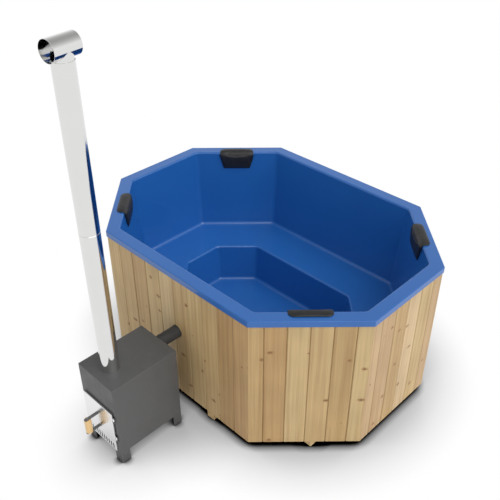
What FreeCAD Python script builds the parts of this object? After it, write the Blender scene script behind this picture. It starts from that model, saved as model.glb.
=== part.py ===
import FreeCAD, Part
import math
import os
import re
import Sketcher
from FreeCAD import Placement, Rotation, Vector

# A wood-burning hot tub: a boarded eight-sided tub with a moulded basin, and a stove outside it
# that heats the water through two hoses. Millimetres, +Z up. The origin is on the floor under the
# middle of the tub, +X runs along its length, and the stove stands beyond its -Y side.

driving_sizes = [
    # basin
    ("rim_height", 1000, "top of the rim above the floor"),
    ("tub_length", 2200, "over the rim, along X"),
    ("tub_width", 1630, "over the rim, along Y"),
    ("corner_cut", 478, "leg of the 45 degree corner cut of the rim"),
    ("flange_width", 85, "flat rim from its outer edge to the opening"),
    ("flange_thickness", 8, "rim laminate"),
    ("fascia_depth", 39, "turned-down edge of the rim"),
    ("fascia_wall", 5, "laminate of the turned-down edge"),
    ("liner_wall", 7, "laminate of walls, bench and well"),
    ("bench_height", 400, "seat above the floor"),
    ("wall_draft", 52, "how far the walls draw in from the opening to the bench"),
    ("bench_width", 320, "seat from the wall to the well"),
    ("well_floor", 115, "inside floor of the foot well above the ground"),
    ("well_draft", 25, "how far the well draws in from the bench to its floor"),
    ("rim_round", 6, "outer top edge of the rim"),
    ("rim_corner_round", 10, "upright corners of the rim"),
    ("opening_round", 12, "edge of the opening"),
    ("wall_corner_round", 40, "inside corners between walls"),
    ("bench_round", 28, "cove between wall and bench"),
    ("lip_round", 15, "edge of the bench over the well"),
    ("floor_round", 28, "cove between well and its floor"),
    # boards and timber frame
    ("cladding_reveal", 6, "board face behind the rim edge"),
    ("board_thickness", 22, "tongue-and-groove board"),
    ("board_pitch", 125, "cover width of a board"),
    ("least_end_board", 60, "narrowest board at a corner"),
    ("seam_gap", 0.5, "play between boards"),
    ("seam_mouth", 10, "width of the V at a board joint"),
    ("tongue_depth", 7, "tongue of a board"),
    ("tongue_thickness", 6, "tongue of a board"),
    ("joist_width", 58, "joist under the tub"),
    ("joist_height", 49, "joist under the tub"),
    ("joist_spacing", 570, "between joists"),
    ("joist_setback", 4, "joist end behind the board face"),
    ("deck_thickness", 18, "deck on the joists"),
    ("rail_depth", 42, "rails behind the boards"),
    ("rail_height", 45, "rails behind the boards"),
    ("post_size", 40, "square corner posts"),
    ("post_setback", 10, "post behind the corner of the boards"),
    # headrests
    ("headrest_width", 255, "pad along the rim"),
    ("headrest_foot", 200, "pad along its lower edge"),
    ("headrest_seat", 54, "how far the pad lies over the rim"),
    ("headrest_drop", 128, "how far the pad hangs down the wall"),
    ("headrest_end_drop", 36, "how far the pad hangs down at its two ends"),
    ("pad_crest", 11, "pad over the rim, at its middle"),
    ("pad_edge", 8, "pad at its back edge"),
    ("pad_edge_round", 4, "back edge of the pad"),
    ("pad_corner", 36, "upper back corners of the pad"),
    ("pad_nose", 22, "pad off the wall at its fold"),
    ("pad_nose_drop", 25, "fold of the pad below the rim"),
    ("pad_foot", 8, "pad at its lower edge"),
    ("pad_bulge", 3, "crown of the pad down the wall"),
    ("pad_end_share", 0.5, "fullness of the pad that is left at its ends"),
    ("pad_clearance", 0.3, "pad off the rim and the wall"),
    # hoses, wall fittings and drain
    ("hose_bore", 50, "inside of the hoses"),
    ("hose_wall", 15, "thick rubber that keeps the heat in"),
    ("hose_fit", 0.3, "play of a hose on its tail"),
    ("hose_passage", 2, "room round a hose in the boards"),
    ("hot_height", 561, "upper hose above the floor"),
    ("cold_height", 190, "lower hose above the floor"),
    ("cold_shift", -80, "lower hose along X from the upper one"),
    ("pipe_wall", 5, "wall of tails and spigots"),
    ("tail_length", 45, "hose tail or spigot"),
    ("fitting_flange", 92, "flange of a wall fitting across"),
    ("fitting_lip", 5, "thickness of flanges"),
    ("fitting_thread", 58, "threaded barrel across"),
    ("thread_play", 0.3, "barrel in its hole and nut"),
    ("nut_width", 80, "lock nuts across the corners"),
    ("nut_height", 12, "lock nuts"),
    ("boss_width", 112, "moulded pad round a wall fitting"),
    ("boss_stand", 5, "moulded pad proud of the drawn-in wall"),
    ("grille_width", 74, "grille over a wall fitting across"),
    ("grille_depth", 6, "grille over a wall fitting"),
    ("grille_round", 4, "edge of a grille"),
    ("grille_hole", 6, "holes of a grille"),
    ("grille_pitch", 8, "spacing of the holes of a grille"),
    ("thread_spare", 2.5, "thread past its lock nut"),
    ("clamp_width", 12, "hose clamp band"),
    ("clamp_band", 1.2, "hose clamp band"),
    ("clamp_housing", 4, "screw housing of a hose clamp above its band"),
    ("clamp_inset", 16, "hose clamp from the end of its hose"),
    ("drain_setback", 150, "drain from the near wall of the well"),
    ("drain_pipe", 40, "drain pipe across"),
    ("drain_wall", 4, "drain pipe"),
    ("drain_bend", 40, "bend of the drain pipe at its middle line"),
    ("drain_clearance", 4, "drain pipe above the ground"),
    ("drain_flange", 84, "drain flange across"),
    ("drain_barrel", 50, "drain barrel across"),
    ("drain_barrel_drop", 34, "drain barrel below the floor laminate"),
    ("strainer_width", 60, "strainer of the drain across"),
    ("strainer_thickness", 2.5, "strainer of the drain"),
    ("strainer_hole", 7, "holes of the strainer"),
    ("strainer_pitch", 10.5, "holes of the strainer from its middle"),
    ("valve_setout", 14, "ball valve beyond the rim edge"),
    ("valve_length", 74, "ball valve along its pipe"),
    ("valve_width", 46, "ball valve across"),
    ("valve_neck", 24, "packing neck across"),
    ("neck_rise", 10, "packing neck above the valve"),
    ("valve_socket", 18, "depth of the pipe in the valve"),
    ("outlet_width", 27, "outlet of the valve across"),
    ("outlet_depth", 16, "outlet of the valve"),
    ("ball_width", 36, "ball across"),
    ("ball_bore", 24, "bore of the ball"),
    ("ball_flat", 16, "flat that carries the stem above the middle of the ball"),
    ("ball_play", 0.4, "ball and stem in the valve body"),
    ("stem_width", 10, "valve stem across"),
    ("lever_length", 92, "valve lever from the stem"),
    ("lever_width", 18, "valve lever"),
    ("lever_thickness", 5, "valve lever"),
    ("lever_round", 7, "corners of the valve lever"),
    ("lever_gap", 0.8, "valve lever above the packing neck"),
    ("stem_spare", 5, "stem above the valve lever"),
    # stove
    ("stove_width", 321, "along X"),
    ("stove_depth", 458, "along Y"),
    ("stove_height", 597, "top plate above the floor"),
    ("stove_gap", 143, "between the boards and the stove"),
    ("stove_shift", 13, "stove along X from the middle of the tub"),
    ("stove_plate", 4, "steel plate of housing and firebox"),
    ("housing_round", 3, "outer edges of the housing"),
    ("foot_height", 83, "feet cut from the plates"),
    ("foot_width", 60, "feet cut from the plates"),
    ("jacket", 38, "water space round the firebox"),
    ("weld_gap", 0.2, "play of a tube in the plate it is welded to"),
    ("throat_width", 208, "openings in the front plate"),
    ("grate_level", 176, "ledges that carry the grate"),
    ("ledge_width", 11, "ledges that carry the grate"),
    ("ledge_setback", 38, "ledges behind the front plate"),
    ("grate_play", 2, "grate off the walls of the firebox"),
    ("grate_thickness", 14, "cast grate"),
    ("grate_slot", 12, "gaps of the grate"),
    ("grate_pitch", 26, "spacing of the gaps"),
    ("grate_border", 26, "gaps from the front and back of the grate"),
    # fire door and ash drawer
    ("front_width", 272, "polished front along X"),
    ("front_depth", 10, "polished front, folded pan"),
    ("front_skin", 2, "sheet of the polished front"),
    ("front_round", 3, "folded edges"),
    ("front_bottom", 103, "lower edge of the drawer front"),
    ("drawer_height", 57, "drawer front"),
    ("front_seam", 2, "between drawer front and door"),
    ("door_height", 244, "fire door"),
    ("seat_gap", 4, "between the door and the front plate"),
    ("seat_play", 0.4, "gasket off the front plate"),
    ("gasket_width", 10, "rope gasket"),
    ("gasket_room", 2, "rope gasket off the throat"),
    ("throat_margin", 20, "door edge outside the throat"),
    ("back_plate", 3, "plate behind the door"),
    ("slot_width", 9, "air slots"),
    ("slot_height", 40, "air slots"),
    ("slot_level", 12, "air slots above the lower edge"),
    ("slot_pitch", 22.5, "air slots"),
    ("slot_count", 11, "air slots"),
    ("tray_width", 200, "ash tray"),
    ("tray_height", 46, "ash tray"),
    ("tray_wall", 2, "ash tray"),
    ("tray_play", 0.5, "ash tray above the firebox floor"),
    ("tray_setback", 16, "ash tray before the back of the firebox"),
    ("tray_headroom", 6, "opening above the ash tray"),
    ("handle_inset", 93, "handle from the free edge of the door"),
    ("handle_lift", 6, "lower strap above the lower edge of the door"),
    ("handle_reach", 75, "straps out from the door"),
    ("strap_width", 20, "handle straps"),
    ("strap_thickness", 5, "handle straps"),
    ("strap_round", 7, "corners of the straps"),
    ("grip_width", 42, "wooden grip across"),
    ("grip_length", 102, "wooden grip"),
    ("grip_round", 4, "ends of the grip"),
    ("bolt_width", 10, "bolt through the grip"),
    ("bolt_play", 0.3, "bolt in its holes"),
    ("bolt_head", 18, "bolt head and nut across the corners"),
    ("bolt_head_height", 4, "bolt head and nut"),
    ("bolt_spare", 1.5, "bolt past its nut"),
    ("hinge_offset", 11, "hinge axis beyond the door edge"),
    ("hinge_width", 12, "knuckles across"),
    ("knuckle_length", 18, "one knuckle"),
    ("knuckle_gap", 0.5, "between knuckles"),
    ("tab_thickness", 4, "tab that carries a door knuckle"),
    ("leaf_thickness", 4, "hinge leaf on the front plate"),
    ("leaf_margin", 1, "hinge leaf inside the flat of the front plate"),
    ("hinge_margin", 26, "hinges from the door's lower and upper edge"),
    ("pin_width", 6, "hinge pin"),
    ("pin_play", 0.3, "pin in the door knuckle"),
    ("pin_overhang", 3, "pin past its knuckles"),
    # chimney
    ("chimney_width", 108, "flue pipe across"),
    ("chimney_wall", 2, "flue pipe"),
    ("chimney_fit", 0.3, "play of one pipe in the next"),
    ("chimney_setback", 109, "chimney axis behind the front plate"),
    ("chimney_joint", 1510, "joint between the two pipes above the floor"),
    ("chimney_top", 2380, "upper end of the flue pipes above the floor"),
    ("chimney_bead", 1, "rolled bead at the joint"),
    ("bead_height", 4, "rolled bead at the joint"),
    ("socket_length", 50, "overlap of two pipes"),
    ("collar_height", 45, "flue collar above the top plate"),
    ("cowl_width", 106, "barrel of the cowl across"),
    ("cowl_length", 150, "barrel of the cowl"),
    ("cowl_wall", 1.5, "sheet of the barrel"),
    ("cowl_turn", 7, "barrel turned about the flue, its outer end towards +X"),
    ("cowl_rise", 54, "barrel axis above the flue pipes"),
]

doc = FreeCAD.newDocument("WoodFiredHotTub")
sheet = doc.addObject("Spreadsheet::Sheet", "Sizes")
for row, (name, value, meaning) in enumerate(driving_sizes, 1):
    sheet.set(f"A{row}", meaning)
    sheet.set(f"B{row}", str(value))
    sheet.setAlias(f"B{row}", name)
doc.recompute()

size_names = {name for name, value, meaning in driving_sizes}
plain_word = re.compile(r"[a-z_]+")
nodes = []


def size(name):
    return float(sheet.get(name))


def bind(thing, prop, text):
    """Ties a property to a formula of sheet names, such as "tub_width / 2 - liner_wall"."""

    def cell(found):
        word = found.group()
        return f"Sizes.{word}" if word in size_names else word

    thing.setExpression(prop, plain_word.sub(cell, text))


def node(thing, label):
    """Names a finished sub-part; its label is its file name."""
    thing.Label = label
    nodes.append(thing)
    return thing


# Part primitives and booleans
turns = {
    "z": Rotation(),
    "y": Rotation(Vector(1, 0, 0), -90),
    "-y": Rotation(Vector(1, 0, 0), 90),
    "x": Rotation(Vector(0, 1, 0), 90),
}


def place(thing, base, turn=Rotation()):
    thing.Placement = Placement(Vector(), turn)
    for axis, text in zip("xyz", base):
        bind(thing, f"Placement.Base.{axis}", text)


def box(low, high):
    made = doc.addObject("Part::Box", "Block")
    for prop, start, end in zip(("Length", "Width", "Height"), low, high):
        bind(made, prop, f"({end}) - ({start})")
    place(made, low)
    return made


def rod(base, axis, width, length):
    made = doc.addObject("Part::Cylinder", "Rod")
    bind(made, "Radius", f"({width}) / 2")
    bind(made, "Height", length)
    place(made, base, turns[axis])
    return made


def hexagon(base, axis, width, length):
    made = doc.addObject("Part::Prism", "Hexagon")
    made.Polygon = 6
    bind(made, "Circumradius", f"({width}) / 2")
    bind(made, "Height", length)
    place(made, base, turns[axis])
    return made


def fuse(*pieces):
    made = doc.addObject("Part::MultiFuse", "Joined")
    made.Shapes = list(pieces)
    made.Refine = True
    return made


def cut(base, *tools):
    made = doc.addObject("Part::Cut", "Cut")
    made.Base = base
    made.Tool = tools[0] if len(tools) == 1 else fuse(*tools)
    return made


def group(label, pieces):
    made = doc.addObject("Part::Compound", label)
    made.Links = list(pieces)
    return node(made, label)


# Bodies made of sketches and features
def new_body(label):
    made = doc.addObject("PartDesign::Body", label)
    made.AllowCompound = True
    return made


def new_sketch(body, role, offset):
    made = body.newObject("Sketcher::SketchObject", "Sketch")
    plane = next(item for item in body.Origin.OriginFeatures if item.Role == role)
    made.AttachmentSupport = [(plane, "")]
    made.MapMode = "FlatFace"
    bind(made, "AttachmentOffset.Base.z", offset)
    return made


def add_polygon(sketch, points):
    """Draws a closed outline and ties both coordinates of each corner to a formula."""
    first = sketch.GeometryCount
    count = len(points)
    turn = math.tau / count
    starts = [Vector(100 * math.cos(turn * i), 100 * math.sin(turn * i)) for i in range(count)]
    for i in range(count):
        sketch.addGeometry(Part.LineSegment(starts[i], starts[(i + 1) % count]))
    for i in range(count):
        sketch.addConstraint(Sketcher.Constraint("Coincident", first + i, 2, first + (i + 1) % count, 1))
    for i, (across, up) in enumerate(points):
        for kind, text, start in (("DistanceX", across, starts[i].x), ("DistanceY", up, starts[i].y)):
            made = sketch.addConstraint(Sketcher.Constraint(kind, -1, 1, first + i, 1, start))
            bind(sketch, f"Constraints[{made}]", text)


def add_circle(sketch, across, up, width):
    round_line = sketch.addGeometry(Part.Circle(Vector(), Vector(0, 0, 1), 10))
    for kind, text in (("DistanceX", across), ("DistanceY", up)):
        made = sketch.addConstraint(Sketcher.Constraint(kind, -1, 1, round_line, 3, 0))
        bind(sketch, f"Constraints[{made}]", text)
    made = sketch.addConstraint(Sketcher.Constraint("Diameter", round_line, 20))
    bind(sketch, f"Constraints[{made}]", width)


def polygon_sketch(body, role, offset, *outlines):
    made = new_sketch(body, role, offset)
    for points in outlines:
        add_polygon(made, points)
    return made


def circle_sketch(body, role, offset, *circles):
    made = new_sketch(body, role, offset)
    for circle in circles:
        add_circle(made, *circle)
    return made


def feature(body, kind, sketch, length=None, reverse=False):
    made = body.newObject(f"PartDesign::{kind}", kind)
    made.Profile = sketch
    if length is not None:
        bind(made, "Length", length)
        made.Reversed = reverse
    return made


def loft(body, kind, start, end):
    made = feature(body, kind, start)
    made.Sections = [end]
    made.Ruled = True
    return made


def row_of(body, original, sketch, length, count):
    made = body.newObject("PartDesign::LinearPattern", "Row")
    made.Originals = [original]
    made.Direction = (sketch, ["H_Axis"])
    bind(made, "Length", length)
    made.Occurrences = count
    body.Tip = made
    return made


def ring_of(body, original, sketch, count):
    made = body.newObject("PartDesign::PolarPattern", "Ring")
    made.Originals = [original]
    made.Axis = (sketch, ["N_Axis"])
    made.Angle = 360
    made.Occurrences = count
    body.Tip = made
    return made


def round_edges(body, radius, wanted):
    """Fillets the edges of the body's last feature that the test picks out."""
    doc.recompute()
    base = body.Tip
    chosen = [f"Edge{i}" for i, edge in enumerate(base.Shape.Edges, 1) if wanted(edge)]
    made = body.newObject("PartDesign::Fillet", "Fillet")
    made.Base = (base, chosen)
    bind(made, "Radius", radius)
    return made


def turned(label, profile, base, axis):
    """A piece of revolution: radius and height of each corner of its half section."""
    body = new_body(label)
    sketch = polygon_sketch(body, "XZ_Plane", "0", profile)
    made = body.newObject("PartDesign::Revolution", "Revolution")
    made.Profile = sketch
    made.ReferenceAxis = (sketch, ["V_Axis"])
    made.Angle = 360
    place(body, base, turns[axis])
    return body


def tube(label, base, axis, outer, inner, length):
    inside, outside = f"({inner}) / 2", f"({outer}) / 2"
    return turned(label, rectangle(inside, outside, "0", length), base, axis)


def rectangle(left, right, low, high):
    return [(left, low), (right, low), (right, high), (left, high)]


# The eight-sided plan. An inset moves every side inwards by the same distance, except that the corner
# cut always leaves room at the two ends for the rounds of the corners.
def octagon(inset):
    long_half = f"(tub_length / 2 - ({inset}))"
    wide_half = f"(tub_width / 2 - ({inset}))"
    leg = f"min(corner_cut - (2 - sqrt(2)) * ({inset}); {wide_half} - wall_corner_round)"
    corner = [(long_half, f"{wide_half} - {leg}"), (f"{long_half} - {leg}", wide_half)]
    points = []
    for across, up in (("", ""), ("-", ""), ("-", "-"), ("", "-")):
        quarter = [(f"{across}({x})", f"{up}({y})") for x, y in corner]
        points += quarter if across == up else quarter[::-1]
    return points


def inset_of(point):
    """How far a point lies inside the rim's outline."""
    far_end = size("tub_length") / 2 - abs(point.x)
    far_side = size("tub_width") / 2 - abs(point.y)
    return min(far_end, far_side, (far_end + far_side - size("corner_cut")) / math.sqrt(2))


long_side = "(tub_length - 2 * corner_cut)"
end_side = "(tub_width - 2 * corner_cut)"
slant_side = "(corner_cut * sqrt(2))"
slant_x = "(tub_length - corner_cut) / 2"
slant_y = "(tub_width - corner_cut) / 2"
# name: direction that the side faces, its length and the middle of its edge in plan
sides = {
    "stove_side": (-90, long_side, "0", "-tub_width / 2"),
    "right_front": (-45, slant_side, slant_x, f"-{slant_y}"),
    "right_end": (0, end_side, "tub_length / 2", "0"),
    "right_back": (45, slant_side, slant_x, slant_y),
    "back_side": (90, long_side, "0", "tub_width / 2"),
    "left_back": (135, slant_side, f"-{slant_x}", slant_y),
    "left_end": (180, end_side, "-tub_length / 2", "0"),
    "left_front": (225, slant_side, f"-{slant_x}", f"-{slant_y}"),
}
slanted_sides = ("right_front", "right_back", "left_back", "left_front")


def side_turn(facing):
    """Turns a side's own frame, X along it and Y into the tub, to the way it faces."""
    return Rotation(Vector(0, 0, 1), facing + 90)


def side_strip(label, side, near, far, bottom, top, play="0"):
    """A mitred strip along one side, between two insets and two heights."""
    facing, length, middle_x, middle_y = sides[side]
    half_near = f"({length} / 2 - (sqrt(2) - 1) * ({near}) - {play})"
    half_far = f"({length} / 2 - (sqrt(2) - 1) * ({far}) - {play})"
    body = new_body(label)
    plan = [(f"-{half_near}", near), (half_near, near), (half_far, far), (f"-{half_far}", far)]
    feature(body, "Pad", polygon_sketch(body, "XY_Plane", bottom, plan), f"({top}) - ({bottom})")
    place(body, (middle_x, middle_y, "0"), side_turn(facing))
    return body


# Heights and insets that several pieces share
rim_under = "(rim_height - flange_thickness)"
bench_inset = "(flange_width + wall_draft)"
lip_inset = f"({bench_inset} + bench_width)"
floor_inset = f"({lip_inset} + well_draft)"
board_back = "(cladding_reveal + board_thickness)"
deck_top = "(joist_height + deck_thickness)"
well_under = "(well_floor - liner_wall)"
hose_width = "(hose_bore + 2 * hose_wall)"
tail_width = "(hose_bore - 2 * hose_fit)"
tail_bore = f"({tail_width} - 2 * pipe_wall)"
hot_x = "stove_shift"
cold_x = "(stove_shift + cold_shift)"
drain_y = f"(-(tub_width / 2 - {floor_inset}) + drain_setback)"
drain_axis = "(drain_clearance + drain_pipe / 2)"
# Inner faces of the near wall and of the well's near wall, at the height of their fittings
hot_share = "(rim_height - hot_height) / (rim_height - bench_height)"
cold_share = "(bench_height - cold_height) / (bench_height - well_floor)"
hot_wall = f"(tub_width / 2 - flange_width - wall_draft * {hot_share})"
cold_wall = f"(tub_width / 2 - {lip_inset} - well_draft * {cold_share})"
boss_depth = "(liner_wall + 2 * boss_stand)"
hose_places = ((hot_x, "hot_height"), (cold_x, "cold_height"))


# Basin: rim, turned-down edge, walls, bench and well as one moulded shell
def make_liner():
    body = new_body("tub_liner")
    rim_low = "(rim_height - fascia_depth)"
    feature(body, "Pad", polygon_sketch(body, "XY_Plane", rim_low, octagon("0")), "fascia_depth")
    wall_top = polygon_sketch(body, "XY_Plane", "rim_height", octagon("flange_width - liner_wall"))
    bench_under = "bench_height - liner_wall"
    wall_low = polygon_sketch(body, "XY_Plane", bench_under, octagon(f"{bench_inset} - liner_wall"))
    loft(body, "AdditiveLoft", wall_top, wall_low)
    well_top = polygon_sketch(body, "XY_Plane", "bench_height", octagon(f"{lip_inset} - liner_wall"))
    well_low = polygon_sketch(body, "XY_Plane", well_under, octagon(f"{floor_inset} - liner_wall"))
    loft(body, "AdditiveLoft", well_top, well_low)
    hollow = polygon_sketch(
        body, "XY_Plane", rim_low, octagon("fascia_wall"), octagon("flange_width - liner_wall")
    )
    feature(body, "Pocket", hollow, "fascia_depth - flange_thickness", reverse=True)
    space_top = polygon_sketch(body, "XY_Plane", "rim_height", octagon("flange_width"))
    space_low = polygon_sketch(body, "XY_Plane", "bench_height", octagon(bench_inset))
    loft(body, "SubtractiveLoft", space_top, space_low)
    foot_top = polygon_sketch(body, "XY_Plane", "bench_height", octagon(lip_inset))
    foot_low = polygon_sketch(body, "XY_Plane", "well_floor", octagon(floor_inset))
    loft(body, "SubtractiveLoft", foot_top, foot_low)

    def spans(edge, low, high):
        return abs(edge.BoundBox.ZMin - low) < 0.01 and abs(edge.BoundBox.ZMax - high) < 0.01

    def on_ring(edge, level, nearest, furthest):
        middle = edge.valueAt((edge.FirstParameter + edge.LastParameter) / 2)
        return spans(edge, level, level) and nearest < inset_of(middle) < furthest

    rim, bench, floor = size("rim_height"), size("bench_height"), size("well_floor")
    outside, inside = -size("flange_width"), size("tub_length")
    mid_rim = size("flange_width") / 2
    mid_bench = size("flange_width") + size("wall_draft") + size("bench_width") / 2
    round_edges(body, "rim_corner_round", lambda e: spans(e, rim - size("fascia_depth"), rim) and
                inset_of(e.CenterOfMass) < 0.1)
    round_edges(body, "wall_corner_round", lambda e: spans(e, bench, rim) or spans(e, floor, bench))
    round_edges(body, "bench_round", lambda e: on_ring(e, bench, outside, mid_bench))
    round_edges(body, "floor_round", lambda e: on_ring(e, floor, outside, inside))
    round_edges(body, "lip_round", lambda e: on_ring(e, bench, mid_bench, inside))
    round_edges(body, "opening_round", lambda e: on_ring(e, rim, mid_rim, inside))
    round_edges(body, "rim_round", lambda e: on_ring(e, rim, outside, mid_rim))

    # Flat pads with a hole for the two wall fittings, and the hole of the drain
    for wall, (hose_x, level) in zip((hot_wall, cold_wall), hose_places):
        outside = f"{wall} + liner_wall + boss_stand"
        boss = circle_sketch(body, "XZ_Plane", outside, (hose_x, level, "boss_width"))
        feature(body, "Pad", boss, boss_depth, reverse=True)
        bore = circle_sketch(body, "XZ_Plane", outside, (hose_x, level, "fitting_thread + 2 * thread_play"))
        feature(body, "Pocket", bore, boss_depth)
    drain = circle_sketch(body, "XY_Plane", "well_floor", ("0", drain_y, "drain_barrel + 2 * thread_play"))
    feature(body, "Pocket", drain, "liner_wall")
    node(body, "tub_liner")


# Boards: one mitred panel for each side, parted by tongue-and-groove seams with a V mouth
def make_cladding():
    seam_half = "seam_gap / 2"
    tongue_near = f"({board_back} - (board_thickness + tongue_thickness) / 2)"
    tongue_far = f"({board_back} - (board_thickness - tongue_thickness) / 2)"
    mouth_far = f"(cladding_reveal + seam_mouth / 2 - {seam_half})"
    face = "cladding_reveal"
    lengths = {
        long_side: size("tub_length") - 2 * size("corner_cut"),
        end_side: size("tub_width") - 2 * size("corner_cut"),
        slant_side: size("corner_cut") * math.sqrt(2),
    }
    for side in sides:
        length = sides[side][1]
        body = side_strip(f"cladding_{side}", side, face, board_back, "joist_height", rim_under, seam_half)
        whole_boards = int((lengths[length] - 2 * size("least_end_board")) / size("board_pitch"))
        start = f"-board_pitch * {whole_boards} / 2"
        seam = [
            (f"{start} - seam_mouth / 2", face),
            (f"{start} - {seam_half}", mouth_far),
            (f"{start} - {seam_half}", tongue_near),
            (f"{start} + tongue_depth", tongue_near),
            (f"{start} + tongue_depth", tongue_far),
            (f"{start} - {seam_half}", tongue_far),
            (f"{start} - {seam_half}", board_back),
            (f"{start} + {seam_half}", board_back),
            (f"{start} + {seam_half}", f"{tongue_far} + seam_gap"),
            (f"{start} + tongue_depth + seam_gap", f"{tongue_far} + seam_gap"),
            (f"{start} + tongue_depth + seam_gap", f"{tongue_near} - seam_gap"),
            (f"{start} + {seam_half}", f"{tongue_near} - seam_gap"),
            (f"{start} + {seam_half}", mouth_far),
            (f"{start} + seam_mouth / 2", face),
        ]
        sketch = polygon_sketch(body, "XY_Plane", "joist_height", seam)
        parting = feature(body, "Pocket", sketch, f"{rim_under} - joist_height", reverse=True)
        row_of(body, parting, sketch, f"board_pitch * {whole_boards}", whole_boards + 1)
        if side == "stove_side":
            passage = f"{hose_width} + 2 * hose_passage"
            rings = [(hose_x, level, passage) for hose_x, level in hose_places]
            holes = circle_sketch(body, "XZ_Plane", "0", *rings)
            feature(body, "Pocket", holes, board_back)
        node(body, f"cladding_{side}")


# Timber frame: joists, deck, rails and corner posts
def make_frame():
    joists = []
    for across in (-1.5, -0.5, 0.5, 1.5):
        middle = f"(joist_spacing * {across})"
        outer = f"(joist_spacing * {abs(across)} + joist_width / 2)"
        inset = "(cladding_reveal + joist_setback)"
        to_side = f"tub_width / 2 - {inset}"
        to_slant = f"(tub_length + tub_width) / 2 - corner_cut - sqrt(2) * {inset} - {outer}"
        end = f"min({to_side}; {to_slant})"
        low = (f"{middle} - joist_width / 2", f"-{end}", "0")
        joists.append(box(low, (f"{middle} + joist_width / 2", end, "joist_height")))
    group("base_joists", joists)

    deck = new_body("base_deck")
    plan = polygon_sketch(deck, "XY_Plane", "joist_height", octagon(board_back))
    feature(deck, "Pad", plan, "deck_thickness")
    around_barrel = ("0", drain_y, "drain_barrel + 2 * hose_passage")
    passage = circle_sketch(deck, "XY_Plane", "joist_height", around_barrel)
    feature(deck, "Pocket", passage, "deck_thickness", reverse=True)
    node(deck, "base_deck")

    foam = new_body("floor_insulation")
    plan = polygon_sketch(foam, "XY_Plane", deck_top, octagon(floor_inset))
    feature(foam, "Pad", plan, f"{well_under} - {deck_top}")
    around_nut = ("0", drain_y, "nut_width + 2 * hose_passage")
    passage = circle_sketch(foam, "XY_Plane", deck_top, around_nut)
    feature(foam, "Pocket", passage, f"{well_under} - {deck_top}", reverse=True)
    node(foam, "floor_insulation")

    rail_back = f"({board_back} + rail_depth)"
    for label, bottom in (("top_rails", f"({rim_under} - rail_height)"), ("bottom_rails", deck_top)):
        top = f"{bottom} + rail_height"
        group(label, [side_strip("rail", side, board_back, rail_back, bottom, top) for side in sides])

    posts = []
    leg = f"(corner_cut - (2 - sqrt(2)) * {board_back})"
    long_half = f"(tub_length / 2 - {board_back})"
    wide_half = f"(tub_width / 2 - {board_back})"
    corners = ((22.5, long_half, f"({wide_half} - {leg})"), (67.5, f"({long_half} - {leg})", wide_half))
    for across, up in ((1, 1), (-1, 1), (-1, -1), (1, -1)):
        for facing, corner_x, corner_y in corners:
            outward = Vector(across * math.cos(math.radians(facing)), up * math.sin(math.radians(facing)))
            body = new_body("post")
            plan = rectangle("post_setback", "post_setback + post_size", "-post_size / 2", "post_size / 2")
            sketch = polygon_sketch(body, "XY_Plane", f"{deck_top} + rail_height", plan)
            feature(body, "Pad", sketch, f"{rim_under} - 2 * rail_height - {deck_top}")
            base = (f"{corner_x} * {across}", f"{corner_y} * {up}", "0")
            place(body, base, Rotation(Vector(1, 0, 0), outward.negative()))
            posts.append(body)
    group("corner_posts", posts)


# Headrests: crowned pads, folded over the edge of the opening and narrower towards the foot
def headrest_section(along):
    """The section of a pad across the rim, at a distance along it from the pad's middle."""
    wide, narrow = size("headrest_width") / 2, size("headrest_foot") / 2
    clear = size("pad_clearance")
    slope = size("wall_draft") / (size("rim_height") - size("bench_height"))
    from_middle = abs(along)
    # full over most of its length, and thinner towards its two ends
    crown = math.sqrt(1 - (from_middle / wide) ** 4)
    full = size("pad_end_share") + (1 - size("pad_end_share")) * crown
    crest, edge = size("pad_crest") * full, size("pad_edge") * full
    edge_round, bulge = size("pad_edge_round") * full, size("pad_bulge") * full
    nose, foot = size("pad_nose") * full, size("pad_foot") * full
    nose_drop = size("pad_nose_drop")
    in_corner = max(0, 1 - (wide - from_middle) / size("pad_corner"))
    seat = size("headrest_seat") - size("pad_corner") * (1 - math.sqrt(1 - in_corner ** 2))
    in_taper = max(0, (from_middle - narrow) / (wide - narrow))
    drop = size("headrest_drop") + (size("headrest_end_drop") - size("headrest_drop")) * in_taper

    def at(into, up):
        return Vector(along, into, up)

    def off_wall(up):
        return clear - min(up, 0) * slope

    eighth_turn = math.cos(math.radians(45))
    corner = edge_round * (1 - eighth_turn)
    back_low = at(-seat, clear)
    back_top = at(-seat, edge - edge_round)
    edge_top = at(edge_round - seat, edge)
    nose_top = at(0, crest)
    nose_low = at(off_wall(-nose_drop) + nose, -nose_drop)
    foot_front = at(off_wall(-drop) + foot, foot - drop)
    foot_low = at(off_wall(-drop), -drop)
    fold = at(nose_low.y * eighth_turn, (crest + nose_drop) * eighth_turn - nose_drop)
    front = (nose_low + foot_front) / 2 + Vector(0, bulge, 0)
    foot_curve = foot_low + Vector(0, foot * eighth_turn, foot * (1 - eighth_turn))
    edges = [
        Part.LineSegment(back_low, back_top).toShape(),
        Part.Arc(back_top, at(corner - seat, edge - corner), edge_top).toShape(),
        Part.Arc(edge_top, at((edge_round - seat) / 2, crest), nose_top).toShape(),
        Part.Arc(nose_top, fold, nose_low).toShape(),
        Part.Arc(nose_low, front, foot_front).toShape(),
        Part.Arc(foot_front, foot_curve, foot_low).toShape(),
        Part.LineSegment(foot_low, at(clear, clear)).toShape(),
        Part.LineSegment(at(clear, clear), back_low).toShape(),
    ]
    return Part.Wire(edges)


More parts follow.
